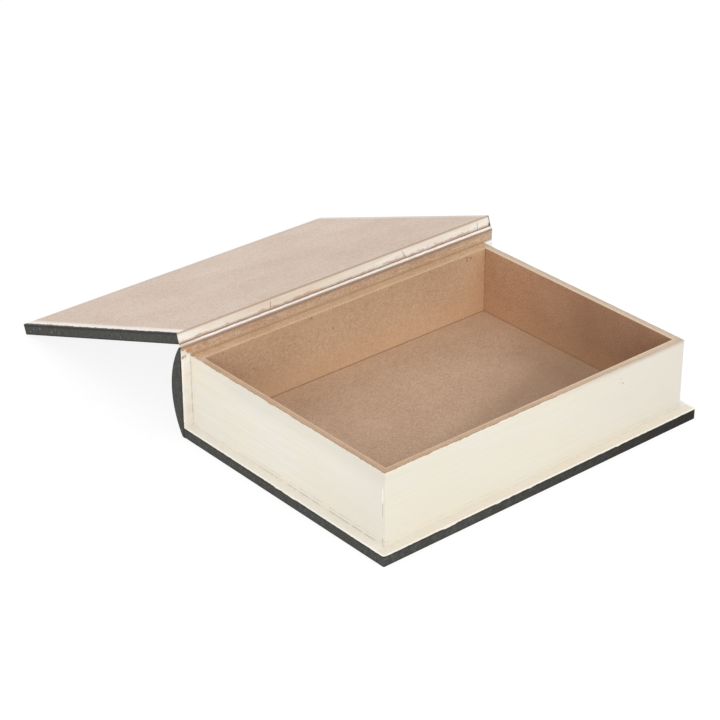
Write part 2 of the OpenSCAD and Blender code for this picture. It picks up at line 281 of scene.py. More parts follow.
# Bare inside of the tray's walls, and their sawn rim
def bare_walls(tree, places, rightish):
    place, parts, across, from_end, from_fore, inwards = places
    bare, height = sanded_fibreboard(tree, place, "#CDA787", "#A67C5E")
    # Shadowed joints at the floor and in the rear corners
    foot = band(tree, (parts, "Z"), floor_z, 0.2 * MM, 0.7 * MM)
    back = band(tree, (parts, "Y"), rear_lo.y, 0.2 * MM, 0.6 * MM)
    sides = band(tree, across, tray_half - wall_t, 0.2 * MM, 0.6 * MM)
    bare = coats(tree, bare, (JOINT_SHADOW, foot, 0.5), (JOINT_SHADOW, back, sides, 0.35))
    # Painted shade: darker and browner towards the front, where the front wall shades the inside.
    # Painted light: lighter and warmer towards the floor
    deep = add(tree, "MapRange", {"Value": (parts, "Y"), "From Min": 75 * MM, "From Max": -10 * MM})
    low = add(tree, "MapRange", {"Value": (parts, "Z"), "From Min": 30 * MM, "From Max": 12 * MM})
    bare = coats(tree, bare, ("#7B5A45", deep, 0.42), ("#FFD2A0", low, 0.15))
    # Rim: saw marks along the board, a painted highlight along the inner arris and a browner outer
    # one
    run = add(tree, "Math", {0: (parts, "X"), 1: (parts, "Y")}, operation="ADD")
    along = add(tree, "CombineXYZ", {"X": inwards, "Y": run})
    sawn = add(tree, "Mapping", {"Vector": along, "Scale": (1 / (1.6 * MM), 1 / (40 * MM), 1)})
    sawn = add(tree, "TexNoise", {"Vector": sawn, "Scale": 1.0, "Detail": 3.0, "Roughness": 0.6})
    sawn = add(tree, "MapRange", {"Value": sawn, "From Min": 0.38, "From Max": 0.62})
    rim, _ = sanded_fibreboard(tree, place, "#D8BB9F", "#B7967A")
    inner = add(tree, "MapRange", {
        "Value": inwards, "From Min": wall_t - 2.2 * MM, "From Max": wall_t - 0.8 * MM})
    outer = add(tree, "MapRange", {"Value": inwards, "From Min": 2.4 * MM, "From Max": 1.2 * MM})
    rim = coats(tree, rim, (SAW_BROWN, sawn, 0.35), ("#E6CBAF", inner, 0.6),
                ("#A0805F", outer, 0.45))
    # Dark lines along the mitres, a browner tone towards the left, a greyer and paler one towards
    # the right
    mitre = add(tree, "Math", {0: from_end, 1: from_fore}, operation="SUBTRACT")
    mitre = band(tree, mitre, 0.0, 0.1 * MM, 0.4 * MM)
    leftish = add(tree, "MapRange", {
        "Value": (parts, "X"), "From Min": 10 * MM, "From Max": -80 * MM})
    rim = coats(tree, rim, ("#94755A", mitre, 0.35), (SAW_BROWN, leftish, 0.34),
                ("#D8D2C4", rightish, 0.3))
    return bare, rim, height


# Emulsion on the outside of the tray's walls: greyer towards the right on the fore face and browner
# there below the rim, cooler where it was gone over again on the end faces, with thin broken lines
# where the brush stopped above the foot
def painted_walls(tree, places, rightish):
    place, parts, _, from_end, from_fore, _ = places
    paint, height = brushed_emulsion(tree, place)
    on_end = add(tree, "MapRange", {"Value": from_end, "From Min": 0.4 * MM, "From Max": 0.1 * MM})
    on_fore = add(tree, "MapRange", {
        "Value": from_fore, "From Min": 0.4 * MM, "From Max": 0.1 * MM})
    by_fore = add(tree, "MapRange", {
        "Value": from_fore, "From Min": 1.4 * MM, "From Max": 1.0 * MM})
    rightwards = add(tree, "MapRange", {
        "Value": (parts, "X"), "From Min": 10 * MM, "From Max": 140 * MM})
    again_y = band(tree, (parts, "Y"), -62 * MM, 14 * MM, 62 * MM)
    again_z = band(tree, (parts, "Z"), rim_z - 10 * MM, 5 * MM, 26 * MM)
    to_corner = add(tree, "MapRange", {
        "Value": (parts, "Y"), "From Min": 0.0, "From Max": -80 * MM})
    rearwards = add(tree, "MapRange", {
        "Value": (parts, "Y"), "From Min": 50 * MM, "From Max": 90 * MM})
    short_of_spine = add(tree, "MapRange", {
        "Value": (parts, "Y"), "From Min": 90 * MM, "From Max": 55 * MM})
    upwards = add(tree, "MapRange", {
        "Value": (parts, "Z"), "From Min": rim_z - 17 * MM, "From Max": rim_z - 4 * MM})
    near_rim = add(tree, "MapRange", {
        "Value": (parts, "Z"), "From Min": rim_z - 3.4 * MM, "From Max": rim_z - 0.4 * MM})
    paint = coats(tree, paint, ("#CDC8C7", on_fore, rightwards, 0.42),
                  ("#EFF0E9", again_y, again_z, on_end, 0.45),
                  ("#DCD6C8", on_end, to_corner, 0.55), ("#E2DBC9", on_fore, 0.4),
                  ("#E6DAC0", on_end, rearwards, 0.1),
                  ("#CFC6B3", on_end, upwards, short_of_spine, 0.28),
                  ("#B79F84", by_fore, rightish, near_rim, 0.5))
    ends = add(tree, "TexNoise", {
        "Vector": place, "Scale": 1 / (11 * MM), "Detail": 3.0, "Roughness": 0.6})
    broken = add(tree, "MapRange", {"Value": ends, "From Min": 0.42, "From Max": 0.56})
    forwards = add(tree, "MapRange", {
        "Value": (parts, "Y"), "From Min": 50 * MM, "From Max": 10 * MM})
    foot_line = band(tree, (parts, "Z"), lip_z + 0.4 * MM, 0.1 * MM, 0.5 * MM)
    upper_line = band(tree, (parts, "Z"), lip_z + 3.4 * MM, 0.1 * MM, 0.5 * MM)
    paint = coats(tree, paint, ("#9C9486", foot_line, on_end, forwards, broken, 0.7),
                  ("#A89F8E", upper_line, on_end, forwards, broken, 0.45),
                  ("#BDB29C", upper_line, on_fore, broken, 0.3))
    # Hairline beside the front left corner, white above and dark below: the tone of each stretch,
    # the height of its middle, its half lengths at full strength and at none, and its strength
    beside = band(tree, (parts, "Y"), -98.7 * MM, 0.15 * MM, 0.5 * MM)
    left = add(tree, "Math", {0: (parts, "X"), 1: 0.0}, operation="LESS_THAN")
    stretches = ((HAIRLINE_GREY, 36, 4, 6, 0.6), (WHITE, 47, 4, 6, 0.8),
                 (HAIRLINE_GREY, 12, 1.5, 3, 0.6))
    for tone, middle, full, none, share in stretches:
        stretch = band(tree, (parts, "Z"), middle * MM, full * MM, none * MM)
        paint = coats(tree, paint, (tone, beside, left, stretch, share))
    for x, z, share in FORE_SPECKS:
        speck = around(tree, place, (x * MM, fore_y, z * MM), 0.4 * MM, 0.8 * MM)
        paint = coats(tree, paint, ("#8A8065", speck, share))
    return paint, height


# Tray walls: bare board inside and on the rim, emulsion outside with a ragged edge on the rim
def wall_finish():
    material, tree = new_finish("sanded_fibreboard_and_brushed_emulsion")
    places = places_on_tray(tree)
    place, parts, _, _, from_fore, inwards = places
    rightish = add(tree, "MapRange", {"Value": (parts, "X"), "From Min": 0.0, "From Max": 110 * MM})
    up = top_of_rim(tree, parts)
    bare, rim, bare_height = bare_walls(tree, places, rightish)
    paint, paint_height = painted_walls(tree, places, rightish)
    ragged = add(tree, "TexNoise", {
        "Vector": place, "Scale": 1 / (6 * MM), "Detail": 5.0, "Roughness": 0.7})
    lap = add(tree, "MapRange", {
        "Value": ragged, "From Min": 0.35, "From Max": 0.7, "To Min": 0.15 * MM,
        "To Max": 1.0 * MM})
    edge = add(tree, "Math", {0: lap, 1: inwards}, operation="SUBTRACT")
    painted = add(tree, "MapRange", {"Value": edge, "From Min": -0.1 * MM, "From Max": 0.1 * MM})
    # A smear of paint over the rear left end of the rim
    smear = around(tree, place, (-tray_half, spine_y, rim_z), 4 * MM, 16 * MM)
    streaky = add(tree, "MapRange", {"Value": ragged, "From Min": 0.3, "From Max": 0.6})
    # A thin line of painted shade along the front wall's outer arris
    arris_y = band(tree, from_fore, 0.3 * MM, 0.3 * MM, 0.8 * MM)
    arris_z = band(tree, (parts, "Z"), rim_z, 0.5 * MM, 1.0 * MM)
    colour = coats(tree, bare, (rim, up), ("#E2D8C8", smear, streaky, up, 0.75), (paint, painted),
                   ("#A59681", arris_y, arris_z, rightish, 0.28))
    height = add(tree, "Mix", {
        "Factor": painted, "A": bare_height, "B": paint_height}, data_type="FLOAT")
    matt_surface(tree, colour, height, BOARD_RELIEF, roughness=0.65)
    return material


# Tray floor and rear wall: bare board, with painted light and shade
def bare_finish(name, pale, dark, painted_light_and_shade, holes=()):
    material, tree = new_finish(name)
    place, parts, across, *_ = places_on_tray(tree)
    colour, height = sanded_fibreboard(tree, place, pale, dark)
    # Painted light and shade, laid on as slow changes of tone
    for tone, direction, start, end, share in painted_light_and_shade:
        drift = add(tree, "VectorMath", {0: place, 1: direction}, operation="DOT_PRODUCT")
        drift = add(tree, "MapRange", {
            "Value": (drift, "Value"), "From Min": start * MM, "From Max": end * MM})
        colour = coats(tree, colour, (tone, drift, share))
    for x, z in holes:
        hole = around(tree, place, (x * MM, rear_lo.y, z * MM), 0.5 * MM, 1.1 * MM)
        colour = coats(tree, colour, (JOINT_SHADOW, hole, 0.7))
    # Shadowed joints along the foot and the sides
    foot = band(tree, (parts, "Z"), floor_z, 0.2 * MM, 0.8 * MM)
    inner = add(tree, "Math", {0: (parts, "Y"), 1: rear_lo.y - 0.4 * MM}, operation="GREATER_THAN")
    sides = band(tree, across, tray_half - wall_t, 0.2 * MM, 0.8 * MM)
    # Rim of the rear wall: close to the spine's tone, olive in places, with a painted highlight
    # along both arrises
    rim, _ = sanded_fibreboard(tree, place, "#D8B89C", "#BA9876")
    stain = add(tree, "TexNoise", {
        "Vector": place, "Scale": 1 / (16 * MM), "Detail": 3.0, "Roughness": 0.6})
    stain = add(tree, "MapRange", {"Value": stain, "From Min": 0.45, "From Max": 0.62})
    at_spine = add(tree, "MapRange", {
        "Value": (parts, "Y"), "From Min": spine_y - 1.0 * MM, "From Max": spine_y - 0.3 * MM})
    at_tray = band(tree, (parts, "Y"), rear_lo.y, 0.3 * MM, 0.9 * MM)
    rim = coats(tree, rim, ("#B79B72", stain, 0.3), ("#EBD3B2", at_spine, 0.8),
                ("#DDBFA0", at_tray, 0.5))
    colour = coats(tree, colour, (JOINT_SHADOW, foot, inner, 0.5), (JOINT_SHADOW, sides, 0.3),
                   (rim, top_of_rim(tree, parts)))
    matt_surface(tree, colour, height, BOARD_RELIEF, roughness=0.65)
    return material


# Inner face of the bottom cover, painted in the open round the tray, whitest at its outer edge.
# Its emulsion is paler than the walls', painted light against the shade the walls cast on it
def lip_finish():
    material, tree = new_finish("brushed_emulsion_on_fibreboard")
    place, parts, across, *_ = places_on_tray(tree)
    colour, height = brushed_emulsion(tree, place, 0.5)
    beyond_end = add(tree, "Math", {0: board_hi.x, 1: across}, operation="SUBTRACT")
    beyond_fore = add(tree, "Math", {0: (parts, "Y"), 1: board_lo.y}, operation="SUBTRACT")
    margin = add(tree, "Math", {0: beyond_end, 1: beyond_fore}, operation="MINIMUM")
    thick = add(tree, "MapRange", {"Value": margin, "From Min": 1.6 * MM, "From Max": 0.7 * MM})
    before = add(tree, "Math", {0: (parts, "Y"), 1: fore_y}, operation="LESS_THAN")
    # A paler coat all over as painted light, darker in front of the tray, whitest at the outer edge
    colour = coats(tree, colour, ("#F0EBE3", 0.55), ("#DDD2BC", before, 0.42),
                   ("#FDFBF6", thick, 0.8))
    matt_surface(tree, colour, height, BOARD_RELIEF, roughness=0.62)
    return material


# Spine moulding: bare board above the rim, emulsion on the end that stands out past the tray
def spine_finish():
    material, tree = new_finish("sanded_fibreboard_spine")
    place, parts, across, from_end, *_ = places_on_tray(tree)
    bare, bare_height = sanded_fibreboard(tree, place, "#DAC0A7", "#B29175")
    # Streaks along it, redder under the strip, more so at its left end, and olive near the rim
    level = add(tree, "Mapping", {
        "Vector": place, "Scale": (1 / (14 * MM), 1 / (14 * MM), 1 / (1.8 * MM))})
    streaks = add(tree, "TexNoise", {
        "Vector": level, "Scale": 1.0, "Detail": 4.0, "Roughness": 0.6})
    red = add(tree, "MapRange", {"Value": streaks, "From Min": 0.5, "From Max": 0.66})
    pale = add(tree, "MapRange", {"Value": streaks, "From Min": 0.45, "From Max": 0.3})
    top = add(tree, "MapRange", {
        "Value": (parts, "Z"), "From Min": rim_z + 3 * MM, "From Max": spine_z - 2 * MM,
        "To Min": 0.25})
    leftwards = add(tree, "MapRange", {
        "Value": (parts, "X"), "From Min": -60 * MM, "From Max": -140 * MM, "To Min": 0.45})
    low = add(tree, "MapRange", {
        "Value": (parts, "Z"), "From Min": rim_z + 3.5 * MM, "From Max": rim_z + 0.5 * MM})
    under = add(tree, "MapRange", {
        "Value": (parts, "Z"), "From Min": spine_z - 2.4 * MM, "From Max": spine_z - 1.2 * MM})
    joint = add(tree, "MapRange", {
        "Value": (parts, "Z"), "From Min": rim_z + 2.4 * MM, "From Max": rim_z + 0.2 * MM})
    right_end = add(tree, "MapRange", {
        "Value": (parts, "X"), "From Min": 143 * MM, "From Max": 149 * MM})
    bare = coats(tree, bare, ("#C98962", red, top, leftwards), ("#EBD0B2", pale, 0.5),
                 ("#BFA579", low, 0.4), ("#AB9074", under, 0.45), ("#A07B5C", joint, 0.45),
                 ("#B5A492", right_end, 0.7))
    for x, z in RED_PLACES:
        spot = around(tree, place, (x * MM, spine_y, z * MM), 0.8 * MM, 3.4 * MM)
        bare = coats(tree, bare, ("#BE7B56", spot, 0.5))
    # Emulsion on the end past the tray: thin and pinkish in places, with a broken grey crack
    # along the tray's corner, white dabs beside the covering, and bare board above
    paint, _ = brushed_emulsion(tree, place, 0.4)
    thin = add(tree, "TexNoise", {
        "Vector": place, "Scale": 1 / (6 * MM), "Detail": 3.0, "Roughness": 0.6})
    thin = add(tree, "MapRange", {"Value": thin, "From Min": 0.42, "From Max": 0.66, "To Max": 0.5})
    dots = add(tree, "TexNoise", {"Vector": place, "Scale": 1 / (3 * MM), "Detail": 2.0})
    dotted = add(tree, "MapRange", {
        "Value": dots, "From Min": 0.4, "From Max": 0.66, "To Min": 0.35})
    crack = band(tree, from_end, -0.5 * MM, 0.15 * MM, 0.6 * MM)
    high = add(tree, "MapRange", {
        "Value": (parts, "Z"), "From Min": 12 * MM, "From Max": 44 * MM, "To Min": 0.35})
    beside = add(tree, "MapRange", {
        "Value": across, "From Min": cover_half - 2.2 * MM, "From Max": cover_half - 0.9 * MM})
    on_right = add(tree, "Math", {0: (parts, "X"), 1: 0.0}, operation="GREATER_THAN")
    paint = coats(tree, paint, ("#F1EEE7", 0.45), ("#E6D2C4", thin),
                  ("#8C8A8A", crack, dotted, high, 0.62), ("#FAF8F3", beside, 0.6),
                  (WHITE, on_right, 0.7))
    past = add(tree, "MapRange", {"Value": from_end, "From Min": 0.15 * MM, "From Max": -0.15 * MM})
    ragged = add(tree, "TexNoise", {
        "Vector": place, "Scale": 1 / (4 * MM), "Detail": 4.0, "Roughness": 0.6})
    ragged = add(tree, "MapRange", {
        "Value": ragged, "From Min": 0.3, "From Max": 0.7, "To Min": -2 * MM, "To Max": 2 * MM})
    # Its upper edge is ragged at the left end and level with the tray's rim at the right
    edge = add(tree, "Mix", {"Factor": on_right, "A": ragged, "B": 1.4 * MM}, data_type="FLOAT")
    level = add(tree, "Math", {0: (parts, "Z"), 1: edge}, operation="ADD")
    covered = add(tree, "MapRange", {
        "Value": level, "From Min": rim_z + 2.0 * MM, "From Max": rim_z + 0.4 * MM})
    # A white dab at the top left, between the covering and the bare board
    dab_x, dab_z = WHITE_DAB
    dab = add(tree, "VectorMath", {
        0: place, 1: (dab_x * MM, spine_y, dab_z * MM)}, operation="DISTANCE")
    dab = add(tree, "Math", {0: (dab, "Value"), 1: ragged}, operation="ADD")
    dab = add(tree, "MapRange", {"Value": dab, "From Min": 2.6 * MM, "From Max": 1.8 * MM})
    colour = coats(tree, bare, (paint, past, covered), ("#EDE8E0", dab, 0.85))
    matt_surface(tree, colour, bare_height, BOARD_RELIEF, roughness=0.65)
    return material


def from_hinge(tree, place, direction):
    """Distance from the hinge axis along one of the opened lid's directions."""
    from_axis = add(tree, "VectorMath", {0: place, 1: hinge_point}, operation="SUBTRACT")
    return (add(tree, "VectorMath", {0: from_axis, 1: direction}, operation="DOT_PRODUCT"), "Value")


# Inner face of the lid: bare board with an emulsion border, wide and soft with a bright outer line
# on the left end, soft along the fore edge, narrow and greyer on the right end
def lid_inner_face(tree, place, parts, along, bare):
    rough = add(tree, "TexNoise", {
        "Vector": place, "Scale": 1 / (14 * MM), "Detail": 4.0, "Roughness": 0.6})
    rough = add(tree, "MapRange", {
        "Value": rough, "From Min": 0.3, "From Max": 0.7, "To Min": -0.6 * MM, "To Max": 0.6 * MM})
    # All of the left border lies a little further in towards the fore edge
    widening = add(tree, "MapRange", {
        "Value": along, "From Min": 70 * MM, "From Max": 200 * MM, "To Max": -1.3 * MM})
    widened = add(tree, "Math", {0: (parts, "X"), 1: widening}, operation="ADD")
    left_x = add(tree, "Math", {0: widened, 1: rough}, operation="ADD")
    right_x = add(tree, "Math", {0: (parts, "X"), 1: rough}, operation="ADD")
    moved_along = add(tree, "Math", {0: along, 1: rough}, operation="ADD")
    left_soft = add(tree, "MapRange", {
        "Value": left_x, "From Min": 10.4 * MM - cover_half, "From Max": 6.8 * MM - cover_half})
    left_line = add(tree, "MapRange", {
        "Value": left_x, "From Min": 6.6 * MM - cover_half, "From Max": 4.6 * MM - cover_half})
    fore_soft = add(tree, "MapRange", {
        "Value": moved_along, "From Min": lid_far - 3.0 * MM, "From Max": lid_far + 0.5 * MM})
    fore_grey = band(tree, moved_along, lid_far - 4.5 * MM, 2.0 * MM, 6.0 * MM)
    right_line = add(tree, "MapRange", {
        "Value": right_x, "From Min": cover_half - 4.4 * MM, "From Max": cover_half - 3.2 * MM})
    right_pale = band(tree, (parts, "X"), cover_half - 3.6 * MM, 0.3 * MM, 1.2 * MM)
    # The bare face is a little deeper in tone to the right
    near = add(tree, "MapRange", {"Value": along, "From Min": 145 * MM, "From Max": 100 * MM})
    rightwards = add(tree, "MapRange", {
        "Value": (parts, "X"), "From Min": -80 * MM, "From Max": 0.0})
    # At the left end the dark covering is turned over the arris, with a torn edge
    torn = add(tree, "TexNoise", {
        "Vector": place, "Scale": 1 / (4 * MM), "Detail": 4.0, "Roughness": 0.65})
    torn = add(tree, "MapRange", {
        "Value": torn, "From Min": 0.35, "From Max": 0.7, "To Min": -0.7 * MM, "To Max": 0.9 * MM})
    torn = add(tree, "Math", {0: widened, 1: torn}, operation="ADD")
    over = add(tree, "MapRange", {
        "Value": torn, "From Min": 2.2 * MM - cover_half, "From Max": 1.8 * MM - cover_half})
    # Dirt line along the hinge arris
    arris = add(tree, "MapRange", {
        "Value": along, "From Min": lid_near + 1.0 * MM, "From Max": lid_near + 0.3 * MM})
    return coats(tree, bare, ("#C9BAB2", fore_grey, 0.35), ("#F6EEE3", left_soft, 0.85),
                 ("#FBF7F0", left_line, 0.7), ("#F5EAE2", fore_soft, 0.8),
                 ("#E3D8D1", right_line, 0.75), ("#F6EFEA", right_pale, 0.5),
                 ("#B59A86", rightwards, near, 0.14), ("#4A4A48", over), ("#A58D78", arris, 0.65))


# Hinge edge of the lid: emulsion brushed along it, wearing through to the board at its lower arris
def lid_hinge_edge(tree, place, parts, out):
    run = add(tree, "Mapping", {
        "Vector": place, "Scale": (1 / (26 * MM), 1 / (2.4 * MM), 1 / (2.4 * MM))})
    brush = add(tree, "TexNoise", {"Vector": run, "Scale": 1.0, "Detail": 4.0, "Roughness": 0.6})
    brush = add(tree, "MapRange", {"Value": brush, "From Min": 0.38, "From Max": 0.66})
    worn = add(tree, "Mapping", {
        "Vector": place, "Scale": (1 / (7 * MM), 1 / (3 * MM), 1 / (3 * MM))})
    worn = add(tree, "TexNoise", {"Vector": worn, "Scale": 1.0, "Detail": 5.0, "Roughness": 0.7})
    worn = add(tree, "MapRange", {
        "Value": worn, "From Min": 0.4, "From Max": 0.7, "To Min": -0.6 * MM, "To Max": 3.4 * MM})
    above = add(tree, "Math", {0: out, 1: worn}, operation="SUBTRACT")
    bared = add(tree, "MapRange", {
        "Value": above, "From Min": lid_back + 0.6 * MM, "From Max": lid_back - 0.4 * MM})
    upper = add(tree, "MapRange", {
        "Value": out, "From Min": lid_face - 3.0 * MM, "From Max": lid_face - 0.6 * MM})
    tan = add(tree, "MapRange", {
        "Value": out, "From Min": lid_face - 1.6 * MM, "From Max": lid_face - 0.8 * MM})
    lower = add(tree, "MapRange", {
        "Value": out, "From Min": lid_back + 1.8 * MM, "From Max": lid_back + 0.2 * MM})
    tanned = band(tree, (parts, "X"), -50 * MM, 25 * MM, 90 * MM)
    edge = coats(tree, linear("#F3EEE5"), ("#E3D2BF", brush, 0.6), ("#D3B999", tanned, 0.4),
                 ("#DFCBB4", upper, 0.5), ("#CBA183", bared, 0.7), ("#A98D74", lower, 0.6),
                 ("#AE9277", tan, 0.75))
    reach = add(tree, "MapRange", {
        "Value": out, "From Min": lid_face - 1.0 * MM, "From Max": lid_face - 3.5 * MM})
    for x, lean in EDGE_CRACKS:
        shift = add(tree, "Math", {
            0: out, 1: lean, 2: x * MM - lean * (lid_face - 4 * MM)}, operation="MULTIPLY_ADD")
        away = add(tree, "Math", {0: (parts, "X"), 1: shift}, operation="SUBTRACT")
        crack = band(tree, away, 0.0, 0.15 * MM, 0.6 * MM)
        edge = coats(tree, edge, ("#8F7A66", crack, reach, 0.65))
    # The covering's edge at its right end, and a dark blot low beside it
    right_end = add(tree, "MapRange", {
        "Value": (parts, "X"), "From Min": 148.6 * MM, "From Max": 149.4 * MM})
    blot = add(tree, "MapRange", {
        "Value": (parts, "X"), "From Min": 147.4 * MM, "From Max": 148.6 * MM})
    low = add(tree, "MapRange", {
        "Value": out, "From Min": lid_back + 2.6 * MM, "From Max": lid_back + 1.4 * MM})
    return coats(tree, edge, ("#77726B", right_end, 0.7), ("#34322E", blot, low, 0.85))


# Lid board: its inner face, and below that face its hinge edge
def lid_finish():
    material, tree = new_finish("sanded_fibreboard_lid_with_emulsion_border")
    place, parts, *_ = places_on_tray(tree)
    along, out = from_hinge(tree, place, lid_along), from_hinge(tree, place, lid_out)
    # Bare board paler and greyer than the tray's: partly its own tone, partly a painted sheen of
    # light grazing the lid's face
    bare, bare_height = sanded_fibreboard(tree, place, "#E7D6C8", "#C7AE9B")
    face = lid_inner_face(tree, place, parts, along, bare)
    edge = lid_hinge_edge(tree, place, parts, out)
    at_edge = add(tree, "MapRange", {
        "Value": along, "From Min": lid_near + 0.6 * MM, "From Max": lid_near + 0.3 * MM})
    below = add(tree, "MapRange", {
        "Value": out, "From Min": lid_face - 0.1 * MM, "From Max": lid_face - 0.3 * MM})
    colour = coats(tree, face, (edge, at_edge, below))
    matt_surface(tree, colour, bare_height, BOARD_RELIEF, roughness=0.65)
    return material


def height_above_table(tree, place):
    """How high a covering's edges are measured on the bottom cover."""
    return (add(tree, "SeparateXYZ", {"Vector": place}), "Z")


def height_in_lid(tree, place):
    """The same on the lid, out of its inner face."""
    return from_hinge(tree, place, lid_out)


def nearness_to_tray(tree, place):
    """The same on the spine, whose inner face looks forwards."""
    parts = add(tree, "SeparateXYZ", {"Vector": place})
    return add(tree, "Math", {0: (parts, "Y"), 1: -1.0}, operation="MULTIPLY")


# The covering as it lies on a board, from its outer arris to its free edge, where paint from the
# inner face laps over it. height_of gives the height that both are measured by. The spine's
# covering is turned over its top, and the lid's over the arris of its left end, with rubbed specks.
def covering_finish(name, height_of, outer, free, darkens=0.0, over_spine=False, over_left=False,
                    rubs=()):
    material, tree = new_finish(name)
    place = (add(tree, "TexCoord"), "Object")
    parts = add(tree, "SeparateXYZ", {"Vector": place})
    colour, height = charcoal_covering(tree, place)
    level = height_of(tree, place)
    # Darkened arrises, and a deeper tone towards the right end
    at_free = band(tree, level, free - 0.6 * MM, 0.5 * MM, 1.3 * MM)
    at_outer = band(tree, level, outer, 0.6 * MM, 1.8 * MM)
    rightwards = add(tree, "MapRange", {
        "Value": (parts, "X"), "From Min": -80 * MM, "From Max": 140 * MM, "To Max": darkens})
    colour = coats(tree, colour, ("#1E1D1A", rightwards), ("#2B271C", at_free, 0.5),
                   ("#2B2B28", at_outer, 0.45))
    for along, out, size in rubs:
        spot = hinge_point + along * MM * lid_along + out * MM * lid_out
        rub = around(tree, place, (-cover_half, spot.y, spot.z), 0.4 * size * MM, size * MM)
        colour = coats(tree, colour, ("#8E8D88", rub, 0.55))
    # The paint's edge: level, with a low notch here and there
    slow = add(tree, "TexNoise", {"Vector": place, "Scale": 1 / (13 * MM), "Detail": 1.0})
    quick = add(tree, "TexNoise", {
        "Vector": place, "Scale": 1 / (3 * MM), "Detail": 3.0, "Roughness": 0.7})
    notch = add(tree, "MapRange", {
        "Value": slow, "From Min": 0.62, "From Max": 0.76, "To Max": 0.7 * MM})
    jitter = add(tree, "MapRange", {
        "Value": quick, "From Min": 0.35, "From Max": 0.7, "To Min": 0.02 * MM,
        "To Max": 0.25 * MM})
    lap = add(tree, "Math", {0: notch, 1: jitter}, operation="ADD")
    lapped = add(tree, "Math", {0: level, 1: lap}, operation="ADD")
    lapped = add(tree, "MapRange", {
        "Value": lapped, "From Min": free - 0.08 * MM, "From Max": free + 0.08 * MM})
    paint = linear("#F4F0E6")
    if over_spine:
        # No paint where it lies beside the bottom cover's own edge, and brown over its top
        open_air = add(tree, "Math", {
            0: (parts, "Z"), 1: lip_z + 0.3 * MM}, operation="GREATER_THAN")
        lapped = add(tree, "Math", {0: lapped, 1: open_air}, operation="MULTIPLY")
        brown_top = add(tree, "MapRange", {
            "Value": (parts, "Z"), "From Min": spine_z - 1.2 * MM, "From Max": spine_z - 0.6 * MM})
        paint = coats(tree, paint, ("#9B8371", brown_top))
    if over_left:
        # No paint on the part that is turned over
        inboard = add(tree, "Math", {
            0: (parts, "X"), 1: 1.0 * MM - cover_half}, operation="GREATER_THAN")
        lapped = add(tree, "Math", {0: lapped, 1: inboard}, operation="MULTIPLY")
    colour = coats(tree, colour, (paint, lapped))
    matt_surface(tree, colour, height, depth=0.04 * MM, roughness=0.75, gloss=0.1)
    return material


# White cotton lining of the covering's free strip: bright along its middle, tan at the spine, and
# with a line of painted shadow where it goes under the lid. across runs from spine to lid.
def lining_finish():
    material, tree = new_finish("cotton_hinge_lining")
    coords = add(tree, "TexCoord")
    place = (coords, "Object")
    sides = add(tree, "SeparateXYZ", {"Vector": (coords, "UV")})
    parts = add(tree, "SeparateXYZ", {"Vector": place})
    weave = add(tree, "TexNoise", {"Vector": place, "Scale": 1 / (0.9 * MM), "Detail": 2.0})
    slow = add(tree, "TexNoise", {"Vector": place, "Scale": 1 / (18 * MM), "Detail": 3.0})
    faded = add(tree, "MapRange", {"Value": slow, "From Min": 0.4, "From Max": 0.62})
    threads = add(tree, "MapRange", {
        "Value": weave, "From Min": 0.4, "From Max": 0.7, "To Max": 0.4})
    wavy = add(tree, "TexNoise", {
        "Vector": place, "Scale": 1 / (7 * MM), "Detail": 3.0, "Roughness": 0.6})
    wavy = add(tree, "MapRange", {
        "Value": wavy, "From Min": 0.3, "From Max": 0.7, "To Min": -0.05, "To Max": 0.05})
    across = add(tree, "Math", {0: (sides, "Y"), 1: wavy}, operation="ADD")
    # Tan at the spine, in a band that narrows towards the right
    narrowing = add(tree, "MapRange", {
        "Value": (parts, "X"), "From Min": -20 * MM, "From Max": 60 * MM, "To Max": 0.09})
    shifted_across = add(tree, "Math", {0: across, 1: narrowing}, operation="ADD")
    tan_by_spine = add(tree, "MapRange", {"Value": shifted_across, "From Min": 0.48, "From Max": 0.34})
    # Painted shadow in the gap where the strip goes under the lid
    shade_under_lid = add(tree, "MapRange", {"Value": across, "From Min": 0.78, "From Max": 0.88})
    tail = add(tree, "MapRange", {
        "Value": (parts, "X"), "From Min": -128 * MM, "From Max": -146 * MM})
    colour = coats(tree, linear("#F8F1EC"), ("#F0E5DC", faded), ("#DDD0C7", threads),
                   ("#CDB19C", tail, 0.75), ("#A58B76", tan_by_spine, 0.9), ("#8B7564", shade_under_lid, 0.85))
    matt_surface(tree, colour, weave, depth=0.03 * MM, roughness=0.75)
    return material


# Drawn steel wire, cut to headless pins: dull grey with fine lines
def pin_finish():
    material, tree = new_finish("drawn_steel_wire")
    place = (add(tree, "TexCoord"), "Object")
    lines = add(tree, "TexNoise", {"Vector": place, "Scale": 1 / (0.4 * MM), "Detail": 2.0})
    colour = add(tree, "Mix", {"Factor": lines, "A": "#9A958B", "B": "#7C776D"}, data_type="RGBA")
    bump = add(tree, "Bump", {"Height": lines, "Distance": 0.01 * MM, "Strength": 1.0})
    shader = add(tree, "BsdfPrincipled", {
        "Base Color": colour, "Metallic": 1.0, "Roughness": 0.4, "Normal": bump})
    add(tree, "OutputMaterial", {"Surface": shader})
    return material


